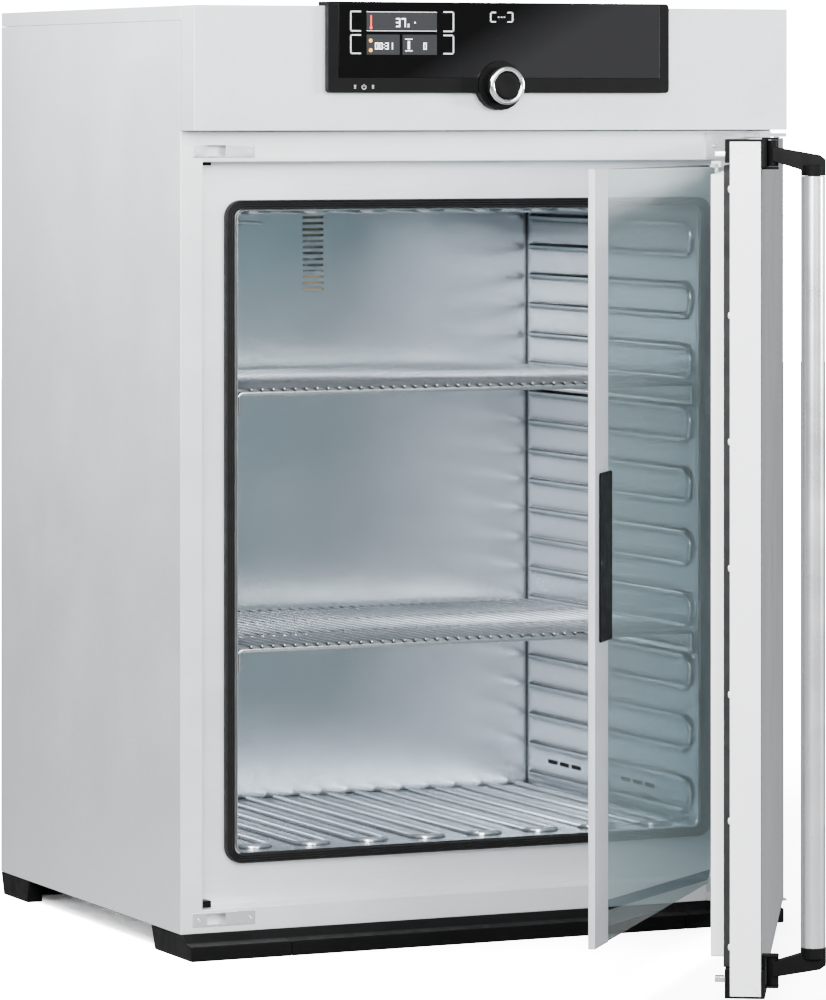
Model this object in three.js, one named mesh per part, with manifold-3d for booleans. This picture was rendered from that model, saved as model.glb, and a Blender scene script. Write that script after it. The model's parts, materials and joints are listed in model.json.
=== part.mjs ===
// Laboratory incubator: a heated cabinet on four feet with a padded main door, an inner glass
// door, two grid shelves and a control panel. Millimetres, +X right, +Y back, +Z up.
// The origin lies on the floor, below the cabinet's front face, in the middle of its width.
import * as THREE from 'three';
import { mergeVertices } from 'three/addons/utils/BufferGeometryUtils.js';
import Module from 'manifold-3d';

const wasm = await Module();
wasm.setup();

// Driving dimensions
const GAP = 0.3; // clearance between touching pieces
const SHEET = 2; // sheet metal thickness

const BODY = { x: 412, back: 637, bottom: 29, top: 1176, seam: 1157 };
const FASCIA = { front: -43.5, bottom: 1021 };
const RECESS = { x: 383, bottom: 58, top: 982.5, depth: 40, corner: 2 };
const CHAMBER = { x: 321, bottom: 120.5, top: 921, front: 42, back: 542, corner: 10 };
const RIB = { width: 10, height: 6, lowest: 137.5, pitch: 40.1, front: 51, back: 528, loops: 10 };
const FLOOR_RIB = { halfSpan: 20, pitch: 80, loops: 8, front: 62, back: 532 };
const FOOT = { front: -35, ledge: 18, outer: 412, left: -277, right: 270 };

const BEZEL = { left: -237, right: 236, front: -54, bottom: 1068, top: 1181.5 };
const KNOB = { x: -1.5, z: 1077.2, bossRadius: 31, bossFront: -57, ringRadius: 24, front: -77 };
const DISPLAY = { left: -187, right: -87, bottom: 1113.5, top: 1171 };

const DOOR = { x: 410, bottom: 32, top: 1010.7, front: -43.5, back: -8.4 };
const DOOR_HINGE = { x: 401, y: -35, open: 60, pinRadius: 4 };
const PLATEAU = { x: 375, bottom: 72.5, top: 973, back: 15 };
const GASKET = { outer: 394, inner: 377, bottom: 54.7, top: 983.5, innerBottom: 71.5, innerTop: 974 };

const GLASS = { front: 20, back: 28, free: -378, bottom: 67, top: 977.5, thickness: 4 };
const GLASS_HINGE = { x: 372, y: 24, open: 49.4, pinRadius: 2.5 };
const GRIP = { left: -360, right: -303, bottom: 423, top: 622 };

const HANDLE = { x: -380, y: -56, hubRadius: 7, reach: 46.5, tubeRadius: 14 };
const TUBE = { bottom: 85, top: 971.3 };
const HOOK = { left: -375, right: -366, nose: -362, tip: 10.6, height: 6 };
const LATCH_LEVELS = { upper: 996.5, lower: 46 };

const SHELF = { x: 316, front: 45, back: 515, wireRadius: 3.5, rise: 24.8, gridPitch: 15 };
const SHELF_LINES = { upper: 13, lower: 5 }; // rib lines that carry the two shelves

const VENT = { x: 0.7, y: 604, z: 851, bore: 23, wall: 2, flapRadius: 22, outletHalf: 16 };
const SENSOR = { x: -111, z: 896, radius: 2, tip: 450 };
const GRILLE = { x: 0.7, halfWidth: 15.2, lowest: 804.4, pitch: 8.07, slot: 3.4, count: 13 };
const INLET = { x: 330, z: 76, halfWidth: 24, halfHeight: 14 };

// Finishes
const FINISH = {
  sheetSteel: { color: 0xdadfe1, roughness: 0.42, metalness: 0.75 },
  chamberSteel: { color: 0xc3ccd6, roughness: 0.35, metalness: 0.85 },
  whitePanel: { color: 0xe9ebec, roughness: 0.5, metalness: 0.2 },
  blackPlastic: { color: 0x282a2b, roughness: 0.6, metalness: 0.0 },
  darkGrey: { color: 0x4b4c4e, roughness: 0.7, metalness: 0.0 },
  glass: { color: 0xa1b0b2, roughness: 0.05, metalness: 0.0 },
  panelGlass: { color: 0x1a1d20, roughness: 0.08, metalness: 0.0 },
  blackRubber: { color: 0x1d1e1f, roughness: 0.85, metalness: 0.0 },
  satinTube: { color: 0xb5b8bb, roughness: 0.3, metalness: 0.9 },
  chrome: { color: 0xd8dadc, roughness: 0.1, metalness: 1.0 },
  foam: { color: 0xcfc9b4, roughness: 0.95, metalness: 0.0 },
  board: { color: 0x2f6b43, roughness: 0.6, metalness: 0.1 },
};

// Solids ------------------------------------------------------------------------------------

function solid(geometry) {
  const bare = geometry.clone();
  bare.deleteAttribute('normal');
  bare.deleteAttribute('uv');
  const merged = mergeVertices(bare, 1e-4);
  return new wasm.Manifold(new wasm.Mesh({
    numProp: 3,
    vertProperties: merged.attributes.position.array,
    triVerts: Uint32Array.from(merged.index.array),
  }));
}

function geometryOf(body) {
  const mesh = body.getMesh();
  const geometry = new THREE.BufferGeometry();
  geometry.setAttribute('position', new THREE.BufferAttribute(mesh.vertProperties, 3));
  geometry.setIndex(new THREE.BufferAttribute(mesh.triVerts, 1));
  geometry.computeVertexNormals();
  return geometry;
}

function join(bodies) {
  return bodies.reduce((whole, body) => whole.add(body));
}

function box([x0, x1], [y0, y1], [z0, z1]) {
  const geometry = new THREE.BoxGeometry(x1 - x0, y1 - y0, z1 - z0);
  geometry.translate((x0 + x1) / 2, (y0 + y1) / 2, (z0 + z1) / 2);
  return solid(geometry);
}

const X = new THREE.Vector3(1, 0, 0);
const Y = new THREE.Vector3(0, 1, 0);
const Z = new THREE.Vector3(0, 0, 1);

function extrude(shape, depth, basis, offset, curveSegments) {
  const geometry = new THREE.ExtrudeGeometry(shape, { depth, bevelEnabled: false, curveSegments });
  geometry.applyMatrix4(basis);
  geometry.translate(offset.x, offset.y, offset.z);
  return solid(geometry);
}

// A shape drawn in (y, z) and drawn out along X.
function alongX(shape, [x0, x1], curveSegments = 6) {
  const basis = new THREE.Matrix4().makeBasis(Y, Z, X);
  return extrude(shape, x1 - x0, basis, new THREE.Vector3(x0, 0, 0), curveSegments);
}

// A shape drawn in (x, z) and drawn out along Y.
function alongY(shape, [y0, y1], curveSegments = 6) {
  const basis = new THREE.Matrix4().makeBasis(X, Z, Y.clone().negate());
  return extrude(shape, y1 - y0, basis, new THREE.Vector3(0, y1, 0), curveSegments);
}

// A shape drawn in (x, y) and drawn out along Z.
function alongZ(shape, [z0, z1], curveSegments = 6) {
  return extrude(shape, z1 - z0, new THREE.Matrix4(), new THREE.Vector3(0, 0, z0), curveSegments);
}

function polygon(points) {
  return new THREE.Shape(points.map(([u, v]) => new THREE.Vector2(u, v)));
}

function rectangle([u0, u1], [v0, v1], radius = 0) {
  if (radius === 0) {
    return polygon([[u0, v0], [u1, v0], [u1, v1], [u0, v1]]);
  }
  const shape = new THREE.Shape();
  shape.absarc(u1 - radius, v0 + radius, radius, -Math.PI / 2, 0);
  shape.absarc(u1 - radius, v1 - radius, radius, 0, Math.PI / 2);
  shape.absarc(u0 + radius, v1 - radius, radius, Math.PI / 2, Math.PI);
  shape.absarc(u0 + radius, v0 + radius, radius, Math.PI, 1.5 * Math.PI);
  return shape;
}

function ringShape(outer, inner) {
  outer.holes.push(inner);
  return outer;
}

function disc(u, v, radius) {
  const shape = new THREE.Shape();
  shape.absarc(u, v, radius, 0, 2 * Math.PI);
  return shape;
}

// Two parallel legs joined by a round bend at their front end, drawn in (along, across).
function bentLegs(front, back, middle, halfSpan, width) {
  const outer = halfSpan + width / 2;
  const inner = halfSpan - width / 2;
  const bend = front + outer;
  const shape = new THREE.Shape();
  shape.moveTo(back, middle - outer);
  shape.lineTo(back, middle - inner);
  shape.lineTo(bend, middle - inner);
  shape.absarc(bend, middle, inner, -Math.PI / 2, Math.PI / 2, true);
  shape.lineTo(back, middle + inner);
  shape.lineTo(back, middle + outer);
  shape.lineTo(bend, middle + outer);
  shape.absarc(bend, middle, outer, Math.PI / 2, -Math.PI / 2, false);
  return shape;
}

// Round wire of straight stretches through the given points, with a ball at each bend.
function wire(points, radius) {
  const corners = points.map(([x, y, z]) => new THREE.Vector3(x, y, z));
  const parts = [];
  for (let i = 1; i < corners.length; i += 1) {
    const run = corners[i].clone().sub(corners[i - 1]);
    const rod = new THREE.CylinderGeometry(radius, radius, run.length(), 8);
    const turn = new THREE.Quaternion().setFromUnitVectors(Y, run.clone().normalize());
    rod.applyQuaternion(turn);
    rod.translate(...corners[i - 1].clone().add(corners[i]).multiplyScalar(0.5).toArray());
    parts.push(solid(rod));
  }
  for (const corner of corners.slice(1, -1)) {
    const ball = new THREE.SphereGeometry(radius, 8, 6);
    ball.translate(corner.x, corner.y, corner.z);
    parts.push(solid(ball));
  }
  return join(parts);
}

// Pieces ------------------------------------------------------------------------------------

const incubator = new THREE.Group();

function piece(name, body, finish, parent = incubator) {
  const mesh = new THREE.Mesh(geometryOf(body), new THREE.MeshStandardMaterial(finish));
  mesh.name = name;
  parent.add(mesh);
}

// A group that turns about a vertical axis; its pieces are drawn where they lie when it is shut.
function hung(hinge, parent = incubator) {
  const turning = new THREE.Group();
  turning.position.set(hinge.x, hinge.y, 0);
  turning.rotation.z = THREE.MathUtils.degToRad(hinge.open);
  const shut = new THREE.Group();
  shut.position.set(-hinge.x, -hinge.y, 0);
  turning.add(shut);
  parent.add(turning);
  return shut;
}

function casing() {
  const inside = BODY.x - SHEET;
  const sides = [['side_panel_left', -1], ['side_panel_right', 1]];
  for (const [name, side] of sides) {
    const across = side < 0 ? [-BODY.x, -inside] : [inside, BODY.x];
    const panel = box(across, [SHEET + GAP, BODY.back], [BODY.bottom, BODY.seam]);
    piece(name, panel, FINISH.whitePanel);
  }

  const cover = box([-BODY.x, BODY.x], [0, BODY.back], [BODY.seam + GAP, BODY.top]);
  const hollow = box([-inside, inside], [-1, BODY.back - SHEET], [BODY.seam - 1, BODY.top - SHEET]);
  piece('top_cover', cover.subtract(hollow), FINISH.sheetSteel);

  const behind = inside - GAP;
  const rear = box([-behind, behind], [BODY.back - SHEET, BODY.back], [BODY.bottom, BODY.seam]);
  const outlet = box(
    [VENT.x - VENT.outletHalf, VENT.x + VENT.outletHalf],
    [BODY.back - 5, BODY.back + 5],
    [VENT.z - VENT.outletHalf, VENT.z + VENT.outletHalf],
  );
  const cutOut = rectangle(
    [INLET.x - INLET.halfWidth - 1, INLET.x + INLET.halfWidth + 1],
    [INLET.z - INLET.halfHeight - 1, INLET.z + INLET.halfHeight + 1],
  );
  const socketHole = alongY(cutOut, [BODY.back - 5, BODY.back + 5]);
  const louvres = [];
  for (let i = 0; i < 6; i += 1) {
    const z = 1040 + i * 16;
    louvres.push(box([-330, -230], [BODY.back - 5, BODY.back + 5], [z, z + 5]));
    louvres.push(box([230, 330], [BODY.back - 5, BODY.back + 5], [z, z + 5]));
  }
  piece('rear_panel', rear.subtract(join([outlet, socketHole, ...louvres])), FINISH.whitePanel);

  const plate = box([-behind, behind], [SHEET + GAP, BODY.back - SHEET - GAP],
    [BODY.bottom, BODY.bottom + SHEET]);
  piece('base_plate', plate, FINISH.sheetSteel);
}

function frontFrame() {
  const wall = [-RECESS.x - SHEET, RECESS.x + SHEET];
  const wallHeight = [RECESS.bottom - SHEET, RECESS.top + SHEET];
  const mouth = rectangle([-RECESS.x, RECESS.x], [RECESS.bottom, RECESS.top], RECESS.corner);
  const opening = rectangle(
    [-CHAMBER.x, CHAMBER.x], [CHAMBER.bottom, CHAMBER.top], CHAMBER.corner,
  );
  const face = rectangle([-BODY.x, BODY.x], [BODY.bottom, FASCIA.bottom - 1]);
  const collar = rectangle(wall, wallHeight, RECESS.corner + SHEET);
  const backRing = rectangle(wall, wallHeight, RECESS.corner + SHEET);
  let frame = join([
    alongY(ringShape(face, mouth), [0, SHEET], 3),
    alongY(ringShape(collar, mouth), [0, RECESS.depth + SHEET], 3),
    alongY(ringShape(backRing, opening), [RECESS.depth, RECESS.depth + SHEET], 3),
  ]);
  for (const level of Object.values(LATCH_LEVELS)) {
    const pocket = box([-379, -345], [-1, HOOK.tip + 2], [level - 7, level + 7]);
    const cup = box([-381, -343], [SHEET - 0.5, HOOK.tip + 4], [level - 8.5, level + 8.5]);
    frame = frame.add(cup).subtract(pocket);
  }
  const pins = disc(GLASS_HINGE.x, GLASS_HINGE.y, GLASS_HINGE.pinRadius + 1);
  frame = frame.subtract(alongZ(pins, [RECESS.bottom - 5, RECESS.bottom + 1], 4));
  frame = frame.subtract(alongZ(pins, [RECESS.top - 1, RECESS.top + 5], 4));
  piece('front_frame', frame, FINISH.sheetSteel);
}

function fascia() {
  const outside = box([-BODY.x, BODY.x], [FASCIA.front, -GAP], [FASCIA.bottom, BODY.top]);
  const inside = box(
    [-BODY.x + SHEET, BODY.x - SHEET],
    [FASCIA.front + SHEET, 1],
    [FASCIA.bottom + SHEET, BODY.top - SHEET],
  );
  const window = box([-205, 205], [FASCIA.front - 1, -30], [1112, 1165]);
  const shaftHole = alongY(disc(KNOB.x, KNOB.z, 8), [FASCIA.front - 1, -30], 4);
  piece('control_fascia', outside.subtract(join([inside, window, shaftHole])), FINISH.sheetSteel);
}

function controls() {
  const bezelBack = FASCIA.front - GAP;
  const glassPane = { x: 223, bottom: 1087, top: 1180, depth: 2 };
  const pocketBack = BEZEL.front + glassPane.depth;

  const plate = alongY(
    rectangle([BEZEL.left, BEZEL.right], [BEZEL.bottom, BEZEL.top], 5), [BEZEL.front, bezelBack], 3,
  );
  const lip = box([BEZEL.left, BEZEL.right], [bezelBack - 1, -23], [BODY.top + GAP, BEZEL.top]);
  const boss = alongY(disc(KNOB.x, KNOB.z, KNOB.bossRadius), [KNOB.bossFront, bezelBack], 10);
  const bossClearance = alongY(
    disc(KNOB.x, KNOB.z, KNOB.bossRadius + GAP), [BEZEL.front - 4, 0], 10,
  );
  const pocket = box(
    [-glassPane.x - GAP, glassPane.x + GAP],
    [BEZEL.front - 1, pocketBack + GAP],
    [glassPane.bottom - GAP, glassPane.top + GAP],
  ).subtract(bossClearance);
  const well = box(
    [DISPLAY.left - GAP, DISPLAY.right + GAP],
    [BEZEL.front, BEZEL.front + 8],
    [DISPLAY.bottom - GAP, DISPLAY.top + GAP],
  );
  const shaftHole = alongY(disc(KNOB.x, KNOB.z, 5), [KNOB.bossFront - 1, -30], 4);
  const bezel = join([plate, lip, boss]).subtract(join([pocket, well, shaftHole]));
  piece('control_bezel', bezel, FINISH.blackPlastic);

  const cover = box(
    [-glassPane.x, glassPane.x], [BEZEL.front, pocketBack], [glassPane.bottom, glassPane.top],
  );
  piece('control_glass', cover.subtract(bossClearance), FINISH.panelGlass);

  const screen = box(
    [DISPLAY.left, DISPLAY.right],
    [pocketBack + GAP, BEZEL.front + 8 - GAP],
    [DISPLAY.bottom, DISPLAY.top],
  );
  piece('display_module', screen, FINISH.panelGlass);

  const ring = ringShape(disc(KNOB.x, KNOB.z, KNOB.ringRadius), disc(KNOB.x, KNOB.z, 17.6));
  piece('control_knob_ring', alongY(ring, [KNOB.front, KNOB.bossFront - GAP], 12), FINISH.chrome);
  const cap = alongY(disc(KNOB.x, KNOB.z, 17), [KNOB.front + 1, KNOB.front + 9], 10);
  const stem = alongY(disc(KNOB.x, KNOB.z, 3), [KNOB.front + 8, FASCIA.front + 3], 4);
  piece('control_knob_button', cap.add(stem), FINISH.blackPlastic);

  const board = box([-200, 200], [-36, -34.4], [1040, 1160]);
  const encoder = box([KNOB.x - 9, KNOB.x + 9], [-37.5, -27], [KNOB.z - 9, KNOB.z + 9]);
  const connector = box([60, 110], [-35, -24], [1120, 1132]);
  const processor = box([-90, -62], [-35, -32], [1070, 1098]);
  piece('control_board', join([board, encoder, connector, processor]), FINISH.board);
}

function wallLoops(x0, x1) {
  const loops = [];
  for (let i = 0; i < RIB.loops; i += 1) {
    const middle = RIB.lowest + (2 * i + 0.5) * RIB.pitch;
    loops.push(alongX(
      bentLegs(RIB.front, RIB.back, middle, RIB.pitch / 2, RIB.width), [x0, x1], 4,
    ));
  }
  return loops;
}

function floorLoops(z0, z1) {
  const loops = [];
  for (let i = 0; i < FLOOR_RIB.loops; i += 1) {
    const middle = (i - (FLOOR_RIB.loops - 1) / 2) * FLOOR_RIB.pitch;
    const legs = bentLegs(FLOOR_RIB.front, FLOOR_RIB.back, 0, FLOOR_RIB.halfSpan, RIB.width);
    // The legs are drawn in (y, -x), so a quarter turn about Z lays them front to back.
    const quarterTurn = new THREE.Matrix4().makeRotationZ(Math.PI / 2);
    const offset = new THREE.Vector3(middle, 0, z0);
    loops.push(extrude(legs, z1 - z0, quarterTurn, offset, 4));
  }
  return loops;
}

function chamber() {
  const { x, bottom, top, front, back } = CHAMBER;
  const bite = 0.5; // how far a bead runs into its sheet
  const deep = [front + GAP, back - GAP];
  const left = box([-x - SHEET, -x], deep, [bottom, top]);
  const right = box([x, x + SHEET], deep, [bottom, top]);
  const slots = [];
  for (const start of [160, 374]) {
    for (let i = 0; i < 3; i += 1) {
      const y = start + i * 36;
      slots.push(box([x - 1, x + SHEET + 1], [y, y + 27], [156, 161]));
    }
  }
  const leftWall = join([left, ...wallLoops(-x - bite, -x + RIB.height)]);
  const rightWall = join([right, ...wallLoops(x - RIB.height, x + bite)]);
  piece('chamber_wall_left', leftWall, FINISH.chamberSteel);
  piece('chamber_wall_right', rightWall.subtract(join(slots)), FINISH.chamberSteel);

  const wide = [-x + GAP, x - GAP];
  const floor = box(wide, deep, [bottom - SHEET, bottom]);
  const ceiling = box(wide, deep, [top, top + SHEET]);
  const floorBeads = floorLoops(bottom - bite, bottom + RIB.height);
  const ceilingBeads = floorLoops(top - RIB.height, top + bite);
  piece('chamber_floor', join([floor, ...floorBeads]), FINISH.chamberSteel);
  piece('chamber_ceiling', join([ceiling, ...ceilingBeads]), FINISH.chamberSteel);

  const behind = rectangle([-x - SHEET, x + SHEET], [bottom - SHEET, top + SHEET]);
  behind.holes.push(disc(SENSOR.x, SENSOR.z, SENSOR.radius + 0.8));
  for (let i = 0; i < GRILLE.count; i += 1) {
    const z = GRILLE.lowest + i * GRILLE.pitch;
    behind.holes.push(rectangle(
      [GRILLE.x - GRILLE.halfWidth, GRILLE.x + GRILLE.halfWidth],
      [z - GRILLE.slot / 2, z + GRILLE.slot / 2],
    ));
  }
  piece('chamber_back_wall', alongY(behind, [back, back + SHEET], 3), FINISH.chamberSteel);

  const seal = ringShape(
    rectangle([-x - 17, x + 17], [bottom - 12.5, top + 13.4], CHAMBER.corner + 8),
    rectangle([-x - 5.5, x + 5.5], [bottom - 3.5, top + 4], CHAMBER.corner + 3),
  );
  piece('chamber_seal', alongY(seal, [28.8, RECESS.depth - GAP], 4), FINISH.blackRubber);
}

function heatingAndInsulation() {
  const { x, bottom, top, back } = CHAMBER;
  const along = [60, 520];
  const upright = [bottom + 20, top - 20];
  const across = [-x + 20, x - 20];
  const away = SHEET + 1.5;
  const left = box([-x - away - SHEET, -x - away], along, upright);
  const right = box([x + away, x + away + SHEET], along, upright);
  const below = box(across, along, [bottom - away - SHEET, bottom - away]);
  const above = box(across, along, [top + away, top + away + SHEET]);
  const heaters = { left, right, floor: below, ceiling: above };
  for (const [place, plate] of Object.entries(heaters)) {
    piece(`heater_${place}`, plate, FINISH.satinTube);
  }

  const outer = { x: BODY.x - SHEET - 2, bottom: BODY.bottom + SHEET + 0.5, top: 975 };
  const wrap = ringShape(
    rectangle([-outer.x, outer.x], [outer.bottom, outer.top]),
    rectangle([-x - 8, x + 8], [bottom - 8, top + 8]),
  );
  piece('insulation_wrap', alongY(wrap, [44, back + 4]), FINISH.foam);

  const rear = rectangle([-outer.x, outer.x], [outer.bottom, outer.top]);
  rear.holes.push(disc(VENT.x, VENT.z, VENT.bore + VENT.wall + 1));
  rear.holes.push(disc(SENSOR.x, SENSOR.z, SENSOR.radius + 1));
  piece('insulation_rear', alongY(rear, [back + 5, back + 46]), FINISH.foam);
}

function rearEquipment() {
  const { x, y, z, bore, wall } = VENT;
  const pipe = ringShape(disc(x, z, bore + wall), disc(x, z, bore));
  const axleHoles = alongX(disc(y, z, 3), [x - bore - 5, x + bore + 5], 4);
  const duct = alongY(pipe, [CHAMBER.back + SHEET + 1, BODY.back - SHEET - GAP], 12);
  piece('vent_duct', duct.subtract(axleHoles), FINISH.satinTube);

  const blade = alongY(disc(x, z, VENT.flapRadius), [y - 0.8, y + 0.8], 10);
  const axle = alongX(disc(y, z, 2), [x - bore - 4, x + bore + 10], 4);
  piece('air_flap', blade.add(axle), FINISH.satinTube);

  const motorFace = x + bore + wall + 9;
  const gearCase = box([motorFace, motorFace + 24], [y - 12, y + 22], [z - 18, z + 18]);
  const axleSocket = alongX(disc(y, z, 3), [motorFace - 1, motorFace + 12], 4);
  const motor = alongX(disc(y + 5, z, 12), [motorFace + 23, motorFace + 45], 8);
  piece('flap_motor', gearCase.subtract(axleSocket).add(motor), FINISH.darkGrey);

  const rod = alongY(disc(SENSOR.x, SENSOR.z, SENSOR.radius), [SENSOR.tip, 601], 5);
  const head = alongY(disc(SENSOR.x, SENSOR.z, 6), [592, 612], 5);
  piece('temperature_sensor', rod.add(head), FINISH.satinTube);

  const body = box(
    [INLET.x - INLET.halfWidth, INLET.x + INLET.halfWidth],
    [BODY.back - 28, BODY.back + 2],
    [INLET.z - INLET.halfHeight, INLET.z + INLET.halfHeight],
  );
  const flange = box(
    [INLET.x - INLET.halfWidth - 8, INLET.x + INLET.halfWidth + 8],
    [BODY.back + GAP, BODY.back + 3],
    [INLET.z - INLET.halfHeight - 3, INLET.z + INLET.halfHeight + 3],
  );
  const well = box(
    [INLET.x - 15, INLET.x + 15], [BODY.back - 22, BODY.back + 5], [INLET.z - 9, INLET.z + 9],
  );
  const pins = [-8, 0, 8].map((offset) => box(
    [INLET.x + offset - 1, INLET.x + offset + 1],
    [BODY.back - 23, BODY.back - 9],
    [INLET.z - 3, INLET.z + 3],
  ));
  const inlet = join([join([body, flange]).subtract(well), ...pins]);
  piece('mains_inlet', inlet, FINISH.blackPlastic);

  const chassis = box([90, 330], [180, 420], [988, 990]);
  const supply = box([100, 220], [190, 330], [989, 1050]);
  const transformer = box([240, 320], [200, 300], [989, 1070]);
  piece('power_unit', join([chassis, supply, transformer]), FINISH.darkGrey);
}

function base() {
  const profile = () => polygon([
    [FOOT.front, 0], [86, 0], [98, BODY.bottom - GAP], [-1, BODY.bottom - GAP],
    [-14, FOOT.ledge + 1.5], [FOOT.front, FOOT.ledge],
  ]);
  piece('foot_front_left', alongX(profile(), [-FOOT.outer, FOOT.left - GAP]), FINISH.darkGrey);
  piece('front_base_rail', alongX(profile(), [FOOT.left, FOOT.right]), FINISH.darkGrey);
  piece('foot_front_right', alongX(profile(), [FOOT.right + GAP, FOOT.outer]), FINISH.darkGrey);

  const block = () => polygon([
    [539, 0], [627, 0], [BODY.back, BODY.bottom - GAP], [532, BODY.bottom - GAP],
  ]);
  const rail = box([-395, 395], [560, 620], [5, BODY.bottom - GAP]);
  const leftFoot = alongX(block(), [-FOOT.outer, -391]);
  const rightFoot = alongX(block(), [391, FOOT.outer]);
  piece('rear_base', join([rail, leftFoot, rightFoot]), FINISH.darkGrey);
}

function frameFittings() {
  const levels = Object.entries(LATCH_LEVELS);
  for (const [place, level] of levels) {
    const plate = rectangle([-396.5, -313], [level - 8.5, level + 8.2], 1);
    plate.holes.push(rectangle([-377.7, -352.2], [level - 6.5, level + 6.5]));
    plate.holes.push(disc(-388.3, level, 2.2));
    plate.holes.push(disc(-319.6, level, 2.2));
    piece(`keeper_${place}`, alongY(plate, [-2, -GAP], 3), FINISH.satinTube);
  }

  const catches = {
    upper: [GLASS.top + 0.5, RECESS.top - GAP],
    lower: [RECESS.bottom + GAP, GLASS.bottom - 0.5],
  };
  for (const [place, height] of Object.entries(catches)) {
    const block = box([-381.5, -365], [15, 33], height);
    piece(`glass_catch_${place}`, block, FINISH.blackPlastic);
  }

  const pin = disc(DOOR_HINGE.x, DOOR_HINGE.y, DOOR_HINGE.pinRadius);
  const upperPlate = alongY(rectangle([316, 410], [984, 1017], 3), [-2.3, -GAP], 3);
  const upperArm = box([372, 411], [FASCIA.front, -1], [1012, 1017]);
  const upperPin = alongZ(pin, [996, 1013], 5);
  piece('hinge_bracket_upper', join([upperPlate, upperArm, upperPin]), FINISH.satinTube);

  const lowerPlate = alongY(rectangle([316, 410], [29.2, 53], 3), [-2.3, -GAP], 3);
  const lowerArm = box([372, 411], [FASCIA.front, -1], [29.2, 31.6]);
  const lowerPin = alongZ(pin, [31, 47], 5);
  piece('hinge_bracket_lower', join([lowerPlate, lowerArm, lowerPin]), FINISH.satinTube);
}

function mainDoor() {
  const door = hung(DOOR_HINGE);

  const outside = box([-DOOR.x, DOOR.x], [DOOR.front, DOOR.back], [DOOR.bottom, DOOR.top]);
  const inside = box(
    [-DOOR.x + SHEET, DOOR.x - SHEET],
    [DOOR.front + SHEET, DOOR.back - SHEET],
    [DOOR.bottom + SHEET, DOOR.top - SHEET],
  );
  const mouth = {
    x: PLATEAU.x - 3, bottom: PLATEAU.bottom + 3, top: PLATEAU.top - 3,
  };
  const opening = box([-mouth.x, mouth.x], [DOOR.back - 5, 0], [mouth.bottom, mouth.top]);
  const pinHoles = alongZ(
    disc(DOOR_HINGE.x, DOOR_HINGE.y, DOOR_HINGE.pinRadius + 1), [DOOR.bottom - 1, DOOR.top + 1], 5,
  );
  const shell = outside.subtract(join([inside, opening, pinHoles]));
  piece('door_shell', shell, FINISH.whitePanel, door);

  const face = box(
    [-PLATEAU.x, PLATEAU.x], [DOOR.back + GAP, PLATEAU.back], [PLATEAU.bottom, PLATEAU.top],
  );
  const faceHollow = box(
    [-PLATEAU.x + SHEET, PLATEAU.x - SHEET],
    [DOOR.back - 1, PLATEAU.back - SHEET],
    [PLATEAU.bottom + SHEET, PLATEAU.top - SHEET],
  );
  piece('door_inner_panel', face.subtract(faceHollow), FINISH.sheetSteel, door);

  const slab = box(
    [-mouth.x, 389], [DOOR.front + SHEET + 0.5, DOOR.back - SHEET - 0.5],
    [DOOR.bottom + 5, DOOR.top - 5],
  );
  const core = box(
    [-mouth.x + 0.5, mouth.x - 0.5], [DOOR.back - 6, PLATEAU.back - SHEET - 0.5],
    [mouth.bottom + 0.5, mouth.top - 0.5],
  );
  piece('door_insulation', slab.add(core), FINISH.foam, door);

  const seal = ringShape(
    rectangle([-GASKET.outer, GASKET.outer], [GASKET.bottom, GASKET.top], 12),
    rectangle([-GASKET.inner, GASKET.inner], [GASKET.innerBottom, GASKET.innerTop], 4),
  );
  const guideRoom = box([-DOOR.x, -345.5], [-20, 5], [0, 63.2]);
  const ring = alongY(seal, [DOOR.back + GAP, -0.4], 3).subtract(guideRoom);
  piece('door_gasket', ring, FINISH.blackRubber, door);

  lockGuides(door);
  handle(door);
}

function lockGuides(door) {
  const blocks = {
    upper: { inner: [986.5, 1013.5], strip: [DOOR.top + GAP, 1013.5], plate: [981, 1013.5] },
    lower: { inner: [29.3, 62.8], strip: [29.3, DOOR.bottom - GAP], plate: [29.3, 61.7] },
  };
  const lugs = {
    upper: [[978.8, 982.1], [1012.9, 1015.6]],
    lower: [[38.5, 41.2], [73.4, 76.7]],
  };
  for (const [place, heights] of Object.entries(blocks)) {
    const innerBlock = box([-409, -346], [DOOR.back + GAP, -2.4], heights.inner);
    const strip = box([-409, -346], [-48, -2.4], heights.strip);
    const plate = box([-409, -285], [-48, DOOR.front - GAP], heights.plate);
    const level = LATCH_LEVELS[place];
    const slot = box([-378.5, -349], [DOOR.back - 1, 0], [level - 4.5, level + 4.5]);
    const ears = lugs[place].map(([z0, z1]) => box(
      [HANDLE.x - HANDLE.hubRadius, HANDLE.x + HANDLE.hubRadius],
      [HANDLE.y - HANDLE.hubRadius, DOOR.front - GAP], [z0, z1],
    ));
    const earBack = box(
      [HANDLE.x - HANDLE.hubRadius, HANDLE.x + HANDLE.hubRadius],
      [-48, DOOR.front - GAP], [lugs[place][0][0], lugs[place][1][1]],
    );
    const guide = join([innerBlock, strip, plate, earBack, ...ears]).subtract(slot);
    piece(`lock_guide_${place}`, guide, FINISH.blackPlastic, door);

    const shank = box(
      [HOOK.left, HOOK.right], [DOOR.back + 0.6, HOOK.tip],
      [level - HOOK.height / 2, level + HOOK.height / 2],
    );
    const nose = box(
      [HOOK.right - 1, HOOK.nose], [0.6, HOOK.tip],
      [level - HOOK.height / 2, level + HOOK.height / 2],
    );
    piece(`lock_hook_${place}`, shank.add(nose), FINISH.satinTube, door);
  }
}

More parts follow.
